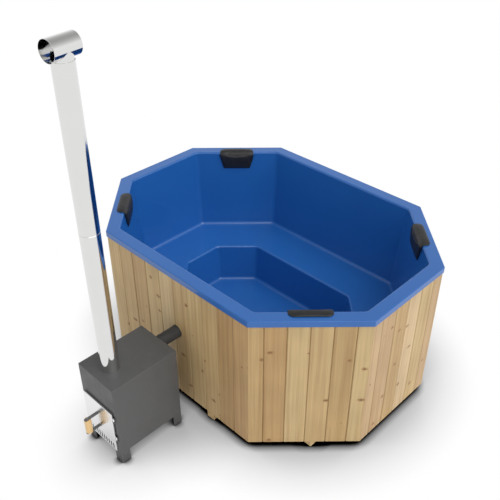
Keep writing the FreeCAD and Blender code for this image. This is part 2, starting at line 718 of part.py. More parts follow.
def make_headrests():
    wide, narrow = size("headrest_width") / 2, size("headrest_foot") / 2
    # stations along the pad, closer together round its upper corners
    corner_steps = (1, 0.97, 0.88, 0.72, 0.5, 0.25, 0)
    in_corner = [wide - size("pad_corner") * (1 - step) for step in corner_steps]
    in_middle = [narrow * share for share in (1, 0.8, 0.5)]
    half = sorted(set(in_corner + in_middle))
    stations = [-along for along in reversed(half)] + [0] + half
    pad = Part.makeLoft([headrest_section(along) for along in stations], True, True)
    for side in slanted_sides:
        facing = sides[side][0]
        out = Vector(math.cos(math.radians(facing)), math.sin(math.radians(facing)))
        middle = Vector(
            math.copysign((size("tub_length") - size("corner_cut")) / 2, out.x),
            math.copysign((size("tub_width") - size("corner_cut")) / 2, out.y),
            size("rim_height"),
        )
        made = doc.addObject("Part::Feature", f"headrest_{side}")
        made.Shape = pad
        made.Placement = Placement(middle - out * size("flange_width"), side_turn(facing))
        node(made, f"headrest_{side}")


# Wall fittings with lock nuts and grilles, hoses and clamps
def make_circulation():
    shoulder = f"({boss_depth} + nut_height + thread_spare)"
    stove_back = "(tub_width / 2 - cladding_reveal + stove_gap)"
    nuts, clamps = [], []
    for word, wall, (hose_x, level) in zip(("hot", "cold"), (hot_wall, cold_wall), hose_places):
        inner_face = f"({wall} - boss_stand)"
        base = (hose_x, f"-{inner_face}", level)
        profile = [
            (f"{tail_bore} / 2", "-fitting_lip"),
            ("fitting_flange / 2", "-fitting_lip"),
            ("fitting_flange / 2", "0"),
            ("fitting_thread / 2", "0"),
            ("fitting_thread / 2", shoulder),
            (f"{tail_width} / 2", shoulder),
            (f"{tail_width} / 2", f"{shoulder} + tail_length"),
            (f"{tail_bore} / 2", f"{shoulder} + tail_length"),
        ]
        node(turned(f"{word}_wall_fitting", profile, base, "-y"), f"{word}_wall_fitting")

        grille = new_body(f"{word}_grille")
        plate = circle_sketch(grille, "XY_Plane", "fitting_lip", ("0", "0", "grille_width"))
        feature(grille, "Pad", plate, "grille_depth")
        face = size("fitting_lip") + size("grille_depth")
        round_edges(grille, "grille_round", lambda e: e.BoundBox.ZMin > face - 0.01)
        middle = circle_sketch(grille, "XY_Plane", "fitting_lip", ("0", "0", "grille_hole"))
        feature(grille, "Pocket", middle, "grille_depth", reverse=True)
        for ring in (1, 2):
            hole = (f"grille_pitch * {ring}", "0", "grille_hole")
            sketch = circle_sketch(grille, "XY_Plane", "fitting_lip", hole)
            ring_of(grille, feature(grille, "Pocket", sketch, "grille_depth", reverse=True), sketch, 6 * ring)
        place(grille, base, turns["y"])
        node(grille, f"{word}_grille")

        nut_base = (hose_x, f"-({inner_face} + {boss_depth})", level)
        hole = rod(nut_base, "-y", "fitting_thread + 2 * thread_play", "nut_height")
        nuts.append(cut(hexagon(nut_base, "-y", "nut_width", "nut_height"), hole))

        hose_start = f"({inner_face} + {shoulder})"
        hose_length = f"({stove_back} - {hose_start})"
        hose_base = (hose_x, f"-{hose_start}", level)
        label = "upper_hose" if word == "hot" else "lower_hose"
        node(tube(label, hose_base, "-y", hose_width, "hose_bore", hose_length), label)

        clamp_bore = f"({hose_width} + 2 * hose_fit)"
        clamp_outer = f"({clamp_bore} + 2 * clamp_band)"
        for start in (f"{hose_start} + clamp_inset", f"{stove_back} - clamp_inset - clamp_width"):
            band_base = (hose_x, f"-({start})", level)
            band = rod(band_base, "-y", clamp_outer, "clamp_width")
            low = (f"{hose_x} - clamp_width / 2", f"-({start}) - clamp_width", level)
            housing_top = f"{level} + {clamp_outer} / 2 + clamp_housing"
            high = (f"{hose_x} + clamp_width / 2", f"-({start})", housing_top)
            bore = rod(band_base, "-y", clamp_bore, "clamp_width")
            clamps.append(cut(fuse(band, box(low, high)), bore))
    group("fitting_nuts", nuts)
    group("hose_clamps", clamps)


# Floor drain, pipe under the deck, and a ball valve behind the tub
def make_drain():
    outlet_y = "(tub_width / 2 + valve_setout)"
    bore = "(drain_pipe - 2 * drain_wall)"
    socket = "(drain_pipe + 2 * thread_play)"
    barrel_low = f"({well_under} - drain_barrel_drop)"
    profile = [
        (f"{bore} / 2", well_under),
        (f"{socket} / 2", well_under),
        (f"{socket} / 2", barrel_low),
        ("drain_barrel / 2", barrel_low),
        ("drain_barrel / 2", "well_floor"),
        ("drain_flange / 2", "well_floor"),
        ("drain_flange / 2", "well_floor + fitting_lip"),
        (f"{bore} / 2", "well_floor + fitting_lip"),
    ]
    node(turned("drain_fitting", profile, ("0", drain_y, "0"), "z"), "drain_fitting")

    strainer = new_body("drain_strainer")
    top = "well_floor + fitting_lip"
    plate = circle_sketch(strainer, "XY_Plane", top, ("0", "0", "strainer_width"))
    feature(strainer, "Pad", plate, "strainer_thickness")
    middle = circle_sketch(strainer, "XY_Plane", top, ("0", "0", "strainer_hole"))
    feature(strainer, "Pocket", middle, "strainer_thickness", reverse=True)
    sketch = circle_sketch(strainer, "XY_Plane", top, ("strainer_pitch", "0", "strainer_hole"))
    ring_of(strainer, feature(strainer, "Pocket", sketch, "strainer_thickness", reverse=True), sketch, 6)
    place(strainer, ("0", drain_y, "0"))
    node(strainer, "drain_strainer")

    nut_base = ("0", drain_y, f"{well_under} - nut_height")
    hole = rod(nut_base, "z", "drain_barrel + 2 * thread_play", "nut_height")
    node(cut(hexagon(nut_base, "z", "nut_width", "nut_height"), hole), "drain_nut")

    # Straight down, a quarter bend, then straight along under the deck
    bend_y = f"({drain_y} + drain_bend)"
    bend_z = f"({drain_axis} + drain_bend)"

    def pipe_solid(width):
        drop = rod(("0", drain_y, bend_z), "z", width, f"{well_under} - {bend_z}")
        bend = doc.addObject("Part::Torus", "Bend")
        bind(bend, "Radius1", "drain_bend")
        bind(bend, "Radius2", f"({width}) / 2")
        bend.Angle3 = 90
        place(bend, ("0", bend_y, bend_z), Rotation(Vector(0, 1, 0), 90) * Rotation(Vector(0, 0, 1), -90))
        run = rod(("0", bend_y, drain_axis), "y", width, f"{outlet_y} + valve_socket - {bend_y}")
        return fuse(drop, bend, run)

    node(cut(pipe_solid("drain_pipe"), pipe_solid(bore)), "drain_pipe")

    valve_middle = f"({outlet_y} + valve_length / 2)"
    centre = ("0", valve_middle, drain_axis)
    neck_top = "(valve_width / 2 + neck_rise)"
    shell = fuse(
        rod(("0", outlet_y, drain_axis), "y", "valve_width", "valve_length"),
        rod(centre, "z", "valve_neck", neck_top),
    )
    outlet_start = f"{outlet_y} + valve_length - outlet_depth"
    cavity = doc.addObject("Part::Sphere", "Cavity")
    bind(cavity, "Radius", "ball_width / 2 + ball_play")
    place(cavity, centre)
    hollow = fuse(
        cavity,
        rod(("0", outlet_y, drain_axis), "y", "ball_bore", "valve_length"),
        rod(("0", outlet_y, drain_axis), "y", socket, "valve_socket"),
        rod(("0", outlet_start, drain_axis), "y", "outlet_width", "outlet_depth"),
        rod(centre, "z", "stem_width + 2 * ball_play", neck_top),
    )
    node(cut(shell, hollow), "drain_valve_body")

    ball = doc.addObject("Part::Sphere", "Ball")
    bind(ball, "Radius", "ball_width / 2")
    place(ball, centre)
    flat = f"({drain_axis} + ball_flat)"
    top = box(
        ("-ball_width", f"{valve_middle} - ball_width", flat),
        ("ball_width", f"{valve_middle} + ball_width", f"{flat} + ball_width"),
    )
    bore_hole = rod(("-ball_width", valve_middle, drain_axis), "x", "ball_bore", "2 * ball_width")
    node(cut(ball, top, bore_hole), "drain_ball")

    lever_low = f"({drain_axis} + {neck_top} + lever_gap)"
    stem_top = f"({lever_low} + lever_thickness + stem_spare)"
    node(rod(("0", valve_middle, flat), "z", "stem_width", f"{stem_top} - {flat}"), "drain_stem")

    lever = new_body("drain_lever")
    plan = rectangle("-lever_width / 2", "lever_length", "-lever_width / 2", "lever_width / 2")
    feature(lever, "Pad", polygon_sketch(lever, "XY_Plane", "0", plan), "lever_thickness")
    round_edges(lever, "lever_round", lambda e: abs(e.BoundBox.ZLength - size("lever_thickness")) < 0.01)
    hole = circle_sketch(lever, "XY_Plane", "0", ("0", "0", "stem_width"))
    feature(lever, "Pocket", hole, "lever_thickness", reverse=True)
    place(lever, ("0", valve_middle, lever_low))
    node(lever, "drain_lever")


# Places that the pieces of the stove share
stove_left = "(stove_shift - stove_width / 2)"
stove_right = "(stove_shift + stove_width / 2)"
stove_rear = "(-(tub_width / 2 - cladding_reveal + stove_gap))"
stove_front = f"({stove_rear} - stove_depth)"
throat_left = "(stove_shift - throat_width / 2)"
throat_right = "(stove_shift + throat_width / 2)"
firebox_left = f"({stove_left} + stove_plate + jacket)"
firebox_right = f"({stove_right} - stove_plate - jacket)"
firebox_rear = f"({stove_rear} - stove_plate - jacket)"
firebox_front = f"({stove_front} + stove_plate)"
firebox_floor = "(front_bottom + front_skin)"
firebox_low = f"({firebox_floor} - stove_plate)"
firebox_top = "(stove_height - stove_plate - jacket)"
door_left = "(stove_shift - front_width / 2)"
door_right = "(stove_shift + front_width / 2)"
door_low = "(front_bottom + drawer_height + front_seam)"
door_top = f"({door_low} + door_height)"
door_back = f"({stove_front} - seat_gap)"
door_face = f"({door_back} - front_depth)"
throat_low = f"({door_low} + throat_margin)"
throat_top = f"({door_top} - throat_margin)"
chimney_y = f"({stove_front} + chimney_setback)"
pipe_bore = "(chimney_width - 2 * chimney_wall)"
socket_width = f"({pipe_bore} - 2 * chimney_fit)"
socket_bore = f"({socket_width} - 2 * chimney_wall)"


# Housing of five kinds of plate round the firebox, with the water jacket between them
def make_stove():
    past = "stove_plate"
    flue_hole = f"{socket_width} + 2 * weld_gap"
    outer = new_body("housing_block")
    plan = rectangle(stove_left, stove_right, stove_front, stove_rear)
    feature(outer, "Pad", polygon_sketch(outer, "XY_Plane", "0", plan), "stove_height")
    round_edges(outer, "housing_round", lambda e: e.BoundBox.ZMax > 0.01)
    inside_left = f"({stove_left} + stove_plate)"
    inside_right = f"({stove_right} - stove_plate)"
    inside_front = f"({stove_front} + stove_plate)"
    inside_rear = f"({stove_rear} - stove_plate)"

    def plate(low, high, *openings):
        """A plate of the rounded block, between two corners and with its openings cut out."""
        made = doc.addObject("Part::MultiCommon", "Plate")
        made.Shapes = [outer, box(low, high)]
        return cut(made, *openings) if openings else made

    def foot_gap(near, far):
        low = (f"{stove_left} + foot_width", f"{near} - {past}", f"-{past}")
        return box(low, (f"{stove_right} - foot_width", f"{far} + {past}", "foot_height"))

    tray_top = f"{firebox_floor} + tray_height + tray_headroom"
    front = plate(
        (stove_left, stove_front, "0"), (stove_right, inside_front, "stove_height"),
        foot_gap(stove_front, inside_front),
        box((throat_left, f"{stove_front} - {past}", throat_low),
            (throat_right, f"{inside_front} + {past}", throat_top)),
        box((throat_left, f"{stove_front} - {past}", firebox_floor),
            (throat_right, f"{inside_front} + {past}", tray_top)),
    )
    node(front, "stove_front_plate")
    hose_holes = [
        rod((hose_x, f"{inside_rear} - {past}", level), "y", f"{tail_width} + 2 * weld_gap", f"3 * {past}")
        for hose_x, level in hose_places
    ]
    rear = plate(
        (stove_left, inside_rear, "0"), (stove_right, stove_rear, "stove_height"),
        foot_gap(inside_rear, stove_rear), *hose_holes,
    )
    node(rear, "stove_rear_plate")
    walls = []
    for left, right in ((stove_left, inside_left), (inside_right, stove_right)):
        gap_low = (f"{left} - {past}", f"{stove_front} + foot_width", f"-{past}")
        gap = box(gap_low, (f"{right} + {past}", f"{stove_rear} - foot_width", "foot_height"))
        walls.append(plate((left, inside_front, "0"), (right, inside_rear, "stove_height"), gap))
    group("stove_side_plates", walls)
    flue_base = ("stove_shift", chimney_y, f"stove_height - 2 * {past}")
    top = plate(
        (inside_left, inside_front, "stove_height - stove_plate"),
        (inside_right, inside_rear, "stove_height"),
        rod(flue_base, "z", flue_hole, f"3 * {past}"),
    )
    node(top, "stove_top_plate")
    floor = plate(
        (inside_left, inside_front, "foot_height"),
        (inside_right, inside_rear, "foot_height + stove_plate"),
    )
    node(floor, "stove_floor_plate")

    spigots = []
    for hose_x, level in hose_places:
        base = (hose_x, f"{stove_rear} - stove_plate", level)
        spigots.append(tube("spigot", base, "y", tail_width, tail_bore, "stove_plate + tail_length"))
    group("stove_spigots", spigots)

    shell = box((firebox_left, firebox_front, firebox_low), (firebox_right, firebox_rear, firebox_top))
    space = box(
        (f"{firebox_left} + stove_plate", f"{firebox_front} - {past}", firebox_floor),
        (f"{firebox_right} - stove_plate", f"{firebox_rear} - stove_plate", f"{firebox_top} - stove_plate"),
    )
    flue = rod(("stove_shift", chimney_y, f"{firebox_top} - 2 * {past}"), "z", flue_hole, f"3 * {past}")
    hollow = cut(shell, space, flue)
    ledge_front = f"({firebox_front} + ledge_setback)"
    ledge_rear = f"({firebox_rear} - stove_plate)"
    ledges = []
    for left in (f"{firebox_left} + stove_plate", f"{firebox_right} - stove_plate - ledge_width"):
        low = (left, ledge_front, "grate_level - stove_plate")
        ledges.append(box(low, (f"{left} + ledge_width", ledge_rear, "grate_level")))
    node(fuse(hollow, *ledges), "firebox")

    grate = new_body("fire_grate")
    half_width = f"(({firebox_right} - {firebox_left}) / 2 - stove_plate - grate_play)"
    grate_length = f"({ledge_rear} - {ledge_front} - 2 * grate_play)"
    plan = rectangle(f"-{half_width}", half_width, "0", grate_length)
    feature(grate, "Pad", polygon_sketch(grate, "XY_Plane", "0", plan), "grate_thickness")
    each_side = 2 * size("stove_plate") + size("jacket") + size("ledge_width")
    slots = int((size("stove_width") - 2 * each_side) / size("grate_pitch"))
    start = f"-grate_pitch * {slots - 1} / 2"
    left, right = f"{start} - grate_slot / 2", f"{start} + grate_slot / 2"
    slot = rectangle(left, right, "grate_border", f"{grate_length} - grate_border")
    sketch = polygon_sketch(grate, "XY_Plane", "0", slot)
    gap = feature(grate, "Pocket", sketch, "grate_thickness", reverse=True)
    row_of(grate, gap, sketch, f"grate_pitch * {slots - 1}", slots)
    place(grate, ("stove_shift", f"{ledge_front} + grate_play", "grate_level"))
    node(grate, "fire_grate")


# A folded pan on the front of the stove: skin at the front, open at its back
def make_pan(label, low, high, back):
    body = new_body(label)
    behind = f"-({back})"
    depth = f"(({back}) - ({door_face}))"
    plan = rectangle(door_left, door_right, low, high)
    feature(body, "Pad", polygon_sketch(body, "XZ_Plane", behind, plan), depth)
    doc.recompute()
    front = body.Tip.Shape.BoundBox.YMin
    round_edges(body, "front_round", lambda e: e.BoundBox.YMax < front + 0.01)
    left, right = f"{door_left} + front_skin", f"{door_right} - front_skin"
    inside = rectangle(left, right, f"{low} + front_skin", f"{high} - front_skin")
    hollow = polygon_sketch(body, "XZ_Plane", behind, inside)
    feature(body, "Pocket", hollow, f"{depth} - front_skin", reverse=True)
    return body


def make_door():
    node(make_pan("firebox_door", door_low, door_top, door_back), "firebox_door")
    inside = (f"{door_left} + front_skin", f"{door_low} + front_skin")
    outside = (f"{door_right} - front_skin", f"{door_top} - front_skin")
    plate_front = f"({door_back} - back_plate)"
    board_front = f"({door_face} + front_skin)"
    board = box((inside[0], board_front, inside[1]), (outside[0], plate_front, outside[1]))
    node(board, "door_insulation")
    plate = box((inside[0], plate_front, inside[1]), (outside[0], door_back, outside[1]))
    node(plate, "door_back_plate")
    gasket_front = f"({stove_front} - seat_play)"
    room = "gasket_room"
    hole_low = (f"{throat_left} - {room}", door_back, f"{throat_low} - {room}")
    hole_high = (f"{throat_right} + {room}", gasket_front, f"{throat_top} + {room}")
    ring_low = (f"{hole_low[0]} - gasket_width", door_back, f"{hole_low[2]} - gasket_width")
    ring_high = (f"{hole_high[0]} + gasket_width", gasket_front, f"{hole_high[2]} + gasket_width")
    node(cut(box(ring_low, ring_high), box(hole_low, hole_high)), "door_gasket")

    # Handle: two straps, and a turned grip that a bolt holds between them
    handle_x = f"({door_left} + handle_inset)"
    axis_y = f"({door_face} - handle_reach + grip_width / 2)"
    strap_low = f"({door_low} + handle_lift)"
    grip_low = f"({strap_low} + strap_thickness)"
    grip_top = f"({grip_low} + grip_length)"
    hole_width = "bolt_width + 2 * bolt_play"
    straps = []
    for level in (strap_low, grip_top):
        strap = new_body("strap")
        plan = rectangle("-strap_width / 2", "strap_width / 2", "-handle_reach", "0")
        feature(strap, "Pad", polygon_sketch(strap, "XY_Plane", "0", plan), "strap_thickness")
        round_edges(strap, "strap_round", lambda e: e.BoundBox.YMax < 0.01 - size("handle_reach") and
                    e.BoundBox.ZLength > 0.01)
        hole = circle_sketch(strap, "XY_Plane", "0", ("0", "grip_width / 2 - handle_reach", hole_width))
        feature(strap, "Pocket", hole, "strap_thickness", reverse=True)
        place(strap, (handle_x, door_face, level))
        straps.append(strap)
    group("handle_straps", straps)
    grip = tube("handle_grip", (handle_x, axis_y, grip_low), "z", "grip_width", hole_width, "grip_length")
    rim_width = size("grip_width") - 0.1
    round_edges(grip, "grip_round", lambda e: e.BoundBox.XLength > rim_width and e.BoundBox.ZLength < 0.01)
    node(grip, "handle_grip")
    bolt_low = f"({strap_low} - bolt_head_height)"
    bolt_top = f"({grip_top} + strap_thickness)"
    bolt_length = f"{bolt_top} - {strap_low} + bolt_head_height + bolt_spare"
    shank = rod((handle_x, axis_y, strap_low), "z", "bolt_width", bolt_length)
    head = hexagon((handle_x, axis_y, bolt_low), "z", "bolt_head", "bolt_head_height")
    nut_base = (handle_x, axis_y, bolt_top)
    nut_hole = rod(nut_base, "z", hole_width, "bolt_head_height")
    nut = cut(hexagon(nut_base, "z", "bolt_head", "bolt_head_height"), nut_hole)
    group("handle_bolt", [fuse(shank, head), nut])

    # Hinges: leaf and lower knuckle on the housing, upper knuckle on the door, a pin through both
    axis_x = f"({door_right} + hinge_offset)"
    pin_y = f"({stove_front} - leaf_thickness - hinge_width / 2)"
    leaves, knuckles, pins = [], [], []
    pair = "(2 * knuckle_length + knuckle_gap)"
    for start in (f"({door_low} + hinge_margin)", f"({door_top} - hinge_margin - {pair})"):
        upper = f"({start} + knuckle_length + knuckle_gap)"
        leaf = box(
            (f"{axis_x} - hinge_width / 2", f"{stove_front} - leaf_thickness", start),
            (f"{stove_right} - housing_round - leaf_margin", stove_front, f"{start} + {pair}"),
        )
        web = box(
            (f"{axis_x} - pin_width / 2", pin_y, start),
            (f"{axis_x} + hinge_width / 2", f"{stove_front} - leaf_thickness", f"{start} + knuckle_length"),
        )
        barrel = fuse(leaf, web, rod((axis_x, pin_y, start), "z", "hinge_width", "knuckle_length"))
        leaves.append(cut(barrel, rod((axis_x, pin_y, start), "z", "pin_width", "knuckle_length")))
        tab = box(
            (door_right, f"{pin_y} - tab_thickness / 2", upper),
            (axis_x, f"{pin_y} + tab_thickness / 2", f"{upper} + knuckle_length"),
        )
        eye = fuse(tab, rod((axis_x, pin_y, upper), "z", "hinge_width - 2 * knuckle_gap", "knuckle_length"))
        bore = rod((axis_x, pin_y, upper), "z", "pin_width + 2 * pin_play", "knuckle_length")
        knuckles.append(cut(eye, bore))
        pin_base = (axis_x, pin_y, f"{start} - pin_overhang")
        pins.append(rod(pin_base, "z", "pin_width", f"{pair} + 2 * pin_overhang"))
    group("hinge_leaves", leaves)
    group("door_knuckles", knuckles)
    group("hinge_pins", pins)


# Ash drawer: slotted front below the door, and a tray on the firebox floor
def make_drawer():
    back = f"({stove_front} - tray_play)"
    low = "front_bottom"
    high = "(front_bottom + drawer_height)"
    body = make_pan("ash_drawer_front", low, high, back)
    count = int(size("slot_count"))
    first = f"stove_shift - slot_pitch * {count - 1} / 2"
    slot_low = f"{low} + slot_level"
    left, right = f"{first} - slot_width / 2", f"{first} + slot_width / 2"
    slot = rectangle(left, right, slot_low, f"{slot_low} + slot_height")
    sketch = polygon_sketch(body, "XZ_Plane", f"-({back})", slot)
    opening = feature(body, "Pocket", sketch, f"({back}) - ({door_face})", reverse=True)
    row_of(body, opening, sketch, f"slot_pitch * {count - 1}", count)
    node(body, "ash_drawer_front")

    tray_low = f"({firebox_floor} + tray_play)"
    tray_rear = f"({firebox_rear} - stove_plate - tray_setback)"
    tray_front = f"({door_face} + front_skin)"
    tray_left, tray_right = "stove_shift - tray_width / 2", "stove_shift + tray_width / 2"
    tray_top = f"{tray_low} + tray_height"
    outer = box((tray_left, tray_front, tray_low), (tray_right, tray_rear, tray_top))
    inner = box(
        (f"{tray_left} + tray_wall", f"{tray_front} - tray_wall", f"{tray_low} + tray_wall"),
        (f"{tray_right} - tray_wall", f"{tray_rear} - tray_wall", f"{tray_top} + tray_wall"),
    )
    node(cut(outer, inner), "ash_tray")


# Flue collar, two lengths of pipe and the barrel cowl
def make_chimney():
    foot = ("stove_shift", chimney_y, "0")
    collar_low = f"({firebox_top} - stove_plate)"
    collar_base = ("stove_shift", chimney_y, collar_low)
    collar_length = f"stove_height + collar_height - {collar_low}"
    node(tube("flue_collar", collar_base, "z", socket_width, socket_bore, collar_length), "flue_collar")
    lower_base = ("stove_shift", chimney_y, "stove_height")
    lower = tube("chimney_lower", lower_base, "z", "chimney_width", pipe_bore, "chimney_joint - stove_height")
    node(lower, "chimney_lower")
    profile = [
        (f"{socket_bore} / 2", "chimney_joint - socket_length"),
        (f"{socket_width} / 2", "chimney_joint - socket_length"),
        (f"{socket_width} / 2", "chimney_joint"),
        ("chimney_width / 2 + chimney_bead", "chimney_joint"),
        ("chimney_width / 2 + chimney_bead", "chimney_joint + bead_height"),
        ("chimney_width / 2", "chimney_joint + bead_height + chimney_bead"),
        ("chimney_width / 2", "chimney_top"),
        (f"{pipe_bore} / 2", "chimney_top"),
        (f"{pipe_bore} / 2", "chimney_joint + 3 * chimney_wall"),
        (f"{socket_bore} / 2", "chimney_joint + chimney_wall"),
    ]
    node(turned("chimney_upper", profile, foot, "z"), "chimney_upper")

    # A tee: a spigot that slides into the flue pipe, and a barrel lying across it
    turns["barrel"] = Rotation(Vector(0, 0, 1), size("cowl_turn")) * turns["y"]
    barrel_base = (
        "stove_shift + sin(cowl_turn) * cowl_length / 2",
        f"{chimney_y} - cos(cowl_turn) * cowl_length / 2",
        "chimney_top + cowl_rise",
    )
    spigot_base = ("stove_shift", chimney_y, "chimney_top - socket_length")
    outer = fuse(
        rod(barrel_base, "barrel", "cowl_width", "cowl_length"),
        rod(spigot_base, "z", socket_width, "socket_length + cowl_rise"),
    )
    inner = fuse(
        rod(barrel_base, "barrel", "cowl_width - 2 * cowl_wall", "cowl_length"),
        rod(spigot_base, "z", socket_bore, "socket_length + cowl_rise"),
    )
    node(cut(outer, inner), "chimney_cowl")


make_liner()
make_cladding()
make_frame()
make_headrests()
make_circulation()
make_drain()
make_stove()
make_door()
make_drawer()
make_chimney()
doc.recompute()

for thing in doc.Objects:
    if "Invalid" in thing.State or "Error" in thing.State:
        raise RuntimeError(f"{thing.Name} ({thing.Label}) did not build: {thing.State}")
for thing in nodes:
    if thing.Shape.isNull() or not thing.Shape.isValid():
        raise RuntimeError(f"{thing.Label} has no valid shape")

os.makedirs("parts", exist_ok=True)
for thing in nodes:
    solids = thing.Shape.Solids
    print(f"{thing.Label}: {len(solids)} solids, {thing.Shape.Volume / 1000:.1f} cm3")
    thing.Shape.exportStep(f"parts/{thing.Label}.step")
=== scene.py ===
import bpy
import math
from mathutils import Matrix, Vector


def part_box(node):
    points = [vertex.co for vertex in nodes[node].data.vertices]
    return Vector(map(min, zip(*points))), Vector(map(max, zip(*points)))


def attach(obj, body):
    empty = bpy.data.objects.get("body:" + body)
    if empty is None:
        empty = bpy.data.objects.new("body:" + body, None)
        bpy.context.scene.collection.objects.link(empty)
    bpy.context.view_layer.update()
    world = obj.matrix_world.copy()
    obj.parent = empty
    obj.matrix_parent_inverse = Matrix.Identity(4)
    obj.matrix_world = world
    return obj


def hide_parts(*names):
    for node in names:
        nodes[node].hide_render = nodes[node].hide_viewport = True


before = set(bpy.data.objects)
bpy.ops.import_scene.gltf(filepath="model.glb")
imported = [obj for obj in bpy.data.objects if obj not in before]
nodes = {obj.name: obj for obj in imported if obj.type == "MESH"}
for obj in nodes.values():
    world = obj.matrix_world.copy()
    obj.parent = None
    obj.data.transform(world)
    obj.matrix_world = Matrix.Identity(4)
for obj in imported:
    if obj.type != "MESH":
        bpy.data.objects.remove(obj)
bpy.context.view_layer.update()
scene = bpy.context.scene
scene.view_settings.view_transform = "Standard"
print("frame:", len(nodes), "nodes")

mm = 0.001  # metres in a millimetre
noiseRange = {"From Min": 0.3, "From Max": 0.7}  # nearly all values of a noise texture lie in it


def linear(hexColour):
    channels = [int(hexColour[i:i + 2], 16) / 255 for i in (1, 3, 5)]
    return (*(c / 12.92 if c <= 0.04045 else ((c + 0.055) / 1.055) ** 2.4 for c in channels), 1)


# links sockets of a node; a source is an output, or a node, which gives its first output
def plug(tree, made, links):
    for socket, source in links.items():
        output = source.outputs[0] if hasattr(source, "outputs") else source
        tree.links.new(output, made.inputs[socket])


# adds one node; stops are the places and tones of a colour ramp
def addNode(tree, kind, values={}, links={}, stops=(), ramp="LINEAR", **settings):
    made = tree.nodes.new("ShaderNode" + kind)
    for name, value in settings.items():
        setattr(made, name, value)
    for socket, value in values.items():
        made.inputs[socket].default_value = value
    plug(tree, made, links)
    if stops:
        band = made.color_ramp
        band.interpolation = ramp
        band.elements.remove(band.elements[1])
        band.elements[0].position = stops[0][0]
        band.elements[0].color = linear(stops[0][1])
        for place, tone in stops[1:]:
            band.elements.new(place).color = linear(tone)
    return made


def newMaterial(name, values):
    material = bpy.data.materials.new(name)
    material.use_nodes = True
    shader = material.node_tree.nodes["Principled BSDF"]
    for socket, value in values.items():
        shader.inputs[socket].default_value = value
    return material, material.node_tree, shader


def dress(material, names):
    for name in names:
        for slot in nodes[name].material_slots:
            slot.material = material


# Camera, fitted to the rim and the upright edges of the tub
cameraSetup = {
    "lens": 50.50,  # mm
    "sensor": 36,  # mm
    "place": (2.59133, -2.80755, 3.40396),
    "look": (-0.57459, 0.58710, -0.57023),
}
turn = Vector(cameraSetup["look"]).to_track_quat("-Z", "Y").to_euler()
bpy.ops.object.camera_add(location=cameraSetup["place"], rotation=turn)
camera = bpy.context.object
camera.data.lens = cameraSetup["lens"]
camera.data.sensor_width = cameraSetup["sensor"]
scene.camera = camera
print("camera set")

# Studio: an even sky, a broad soft lamp on the right and a white floor with a painted soft contact shadow
studio = {
    "sky": 0.6,  # level of the sky that lights the object
    "lampAim": (-0.643, 0.0, -0.766),  # from the right, 50 degrees up
    "lampSpread": 60,  # degrees across, for soft shadows
    "lampPower": 1.72,  # W/m2
    "backdrop": "#FFFFFF",
    # what polished metal sees, from level with it (0) to straight above (1)
    "mirroredSky": [(0.25, "#FFFFFF"), (0.85, "#A8A8A8")],
    "floorSize": 80,  # m
    "floorColour": "#F7F7F7",
    # painted shades of the floor against how open it is to the sky within a reach, in m
    "paintedFloorShadows": [
        # a painted soft shadow round the object
        (0.5, [(0.1, "#5A5A5A"), (0.3, "#9A9A9A"), (0.485, "#B2B2B2"),
               (0.64, "#D0D0D0"), (0.79, "#ECECEC"), (0.95, "#FFFFFF")]),
        # painted black in the low gaps under it
        (0.09, [(0.5, "#000000"), (0.88, "#FFFFFF")]),
    ],
    "shadeSamples": 48,
}


# 1 where the camera sees a surface, directly, mirrored or through glass
def shownDirectly(tree, path):
    mirrored = addNode(tree, "Math", operation="MAXIMUM",
                       links={0: path.outputs["Is Glossy Ray"], 1: path.outputs["Is Transmission Ray"]})
    return addNode(tree, "Math", links={0: path.outputs["Is Camera Ray"], 1: mirrored}, operation="MAXIMUM")


world = bpy.data.worlds.new("studio sky")
world.use_nodes = True
scene.world = world
tree = world.node_tree
tree.nodes.clear()
path = addNode(tree, "LightPath")
white = linear(studio["backdrop"])
height = addNode(tree, "SeparateXYZ", links={0: addNode(tree, "TexCoord").outputs["Generated"]})
above = addNode(tree, "ValToRGB", links={0: height.outputs["Z"]}, stops=studio["mirroredSky"])
seen = addNode(tree, "Mix", {7: white}, {0: path.outputs["Is Camera Ray"], 6: above}, data_type="RGBA")
skyLight = addNode(tree, "Background", {"Color": white, "Strength": studio["sky"]})
backdrop = addNode(tree, "Background", {"Strength": 1}, {"Color": seen.outputs[2]})
mixed = addNode(tree, "MixShader", links={0: shownDirectly(tree, path), 1: skyLight, 2: backdrop})
addNode(tree, "OutputWorld", links={"Surface": mixed})

aim = Vector(studio["lampAim"]).to_track_quat("-Z", "Y").to_euler()
bpy.ops.object.light_add(type="SUN", rotation=aim)
lamp = bpy.context.object
lamp.data.angle = math.radians(studio["lampSpread"])
lamp.data.energy = studio["lampPower"]

bpy.ops.mesh.primitive_plane_add(size=studio["floorSize"])
floor = bpy.context.object
floor.name = "studioFloor"
material, tree, shader = newMaterial("white floor with painted shadow", {})
tree.nodes.remove(shader)
# the camera and mirrors see painted shadow: a glow shaded by how open the floor is to the sky; the lamps
# light only the matt side
paintedShadows = []
for reach, tones in studio["paintedFloorShadows"]:
    openness = addNode(tree, "AmbientOcclusion", {"Distance": reach}, samples=studio["shadeSamples"])
    paintedShadows.append(addNode(tree, "ValToRGB", links={0: openness.outputs["AO"]}, stops=tones))
shade = addNode(tree, "VectorMath", links={0: paintedShadows[0], 1: paintedShadows[1]}, operation="MULTIPLY")
matt = addNode(tree, "BsdfDiffuse", {"Color": linear(studio["floorColour"])})
shown = addNode(tree, "Emission", links={"Color": shade})
direct = shownDirectly(tree, addNode(tree, "LightPath"))
mixed = addNode(tree, "MixShader", links={0: direct, 1: matt, 2: shown})
plug(tree, tree.nodes["Material Output"], {"Surface": mixed})
floor.data.materials.append(material)
print("studio set")

# Plan of the tub; its reach is read from the frame
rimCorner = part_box("tub_liner")[1]
cornerCut = 478 * mm  # leg of the corner cut of the rim
flangeWidth = 85 * mm  # flat rim, from its outer edge to the opening
slantX = rimCorner.x - cornerCut / 2
slantY = rimCorner.y - cornerCut / 2
